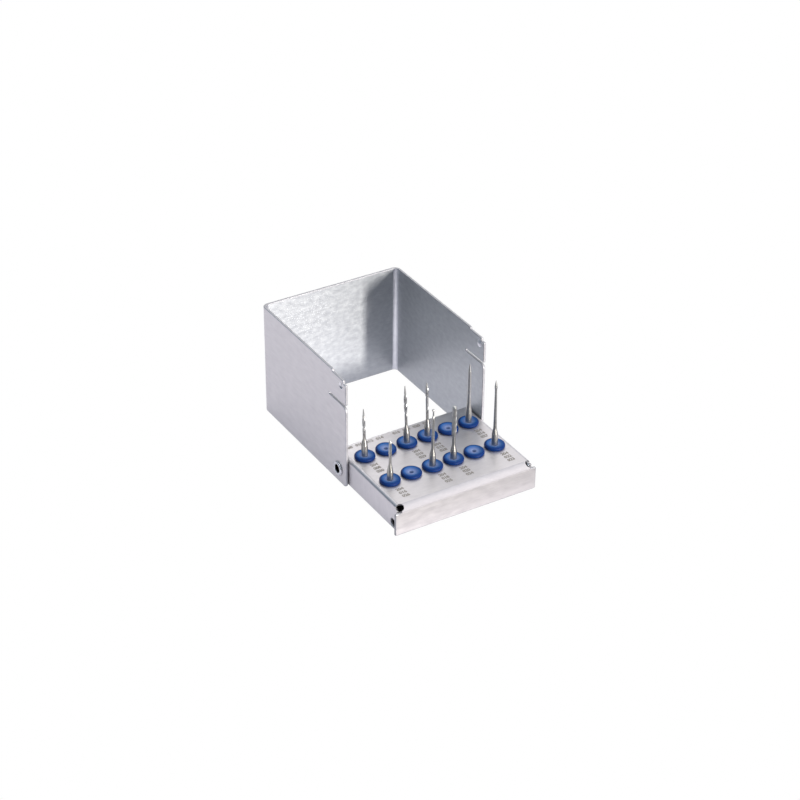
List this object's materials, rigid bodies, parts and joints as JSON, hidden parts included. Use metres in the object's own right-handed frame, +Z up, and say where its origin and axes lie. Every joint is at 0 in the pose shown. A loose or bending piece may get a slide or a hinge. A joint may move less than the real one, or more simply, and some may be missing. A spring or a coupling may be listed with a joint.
{
  "type": "bur block",
  "caption": "Folded steel bur block: a low tray with silicone sockets holding latch-type burs, and a U-shaped cover that swings forward to close over them.",
  "frame": {"origin": "on the surface the block stands on, under the middle of its length and width", "axes": "+Z up, +Y from the tray's front lip to the cover's back wall, +X to the right seen from the lip"},
  "size_m": [0.0614, 0.0988, 0.0462],
  "materials": {
    "cover_sheet": "fine brushed",
    "tray_sheet": "fine brushed",
    "rivet_steel": "bright turned",
    "silicone": "satin royal blue silicone",
    "bur_steel": "polished shank, ground flutes"
  },
  "bodies": {
    "tray": {"tray": "tray_sheet", "hinge_rivet_left": "rivet_steel", "hinge_rivet_right": "rivet_steel", "grommet_back_1": "silicone", "grommet_back_2": "silicone", "grommet_back_3": "silicone", "grommet_back_4": "silicone", "grommet_back_5": "silicone", "grommet_back_6": "silicone", "grommet_front_1": "silicone", "grommet_front_2": "silicone", "grommet_front_3": "silicone", "grommet_front_4": "silicone", "grommet_front_5": "silicone", "grommet_front_6": "silicone", "bur_back_1": "bur_steel", "bur_back_3": "bur_steel", "bur_back_4": "bur_steel", "bur_back_6": "bur_steel", "bur_front_1": "bur_steel", "bur_front_3": "bur_steel", "bur_front_4": "bur_steel", "bur_front_6": "bur_steel"},
    "cover": {"cover": "cover_sheet"}
  },
  "joints": [
    {"name": "cover_hinge", "type": "hinge", "parent": "tray", "child": "cover", "pos_m": [0, -0.0086, 0.0056], "axis": [1, 0, 0], "range_deg": [0, 90]}
  ]
}
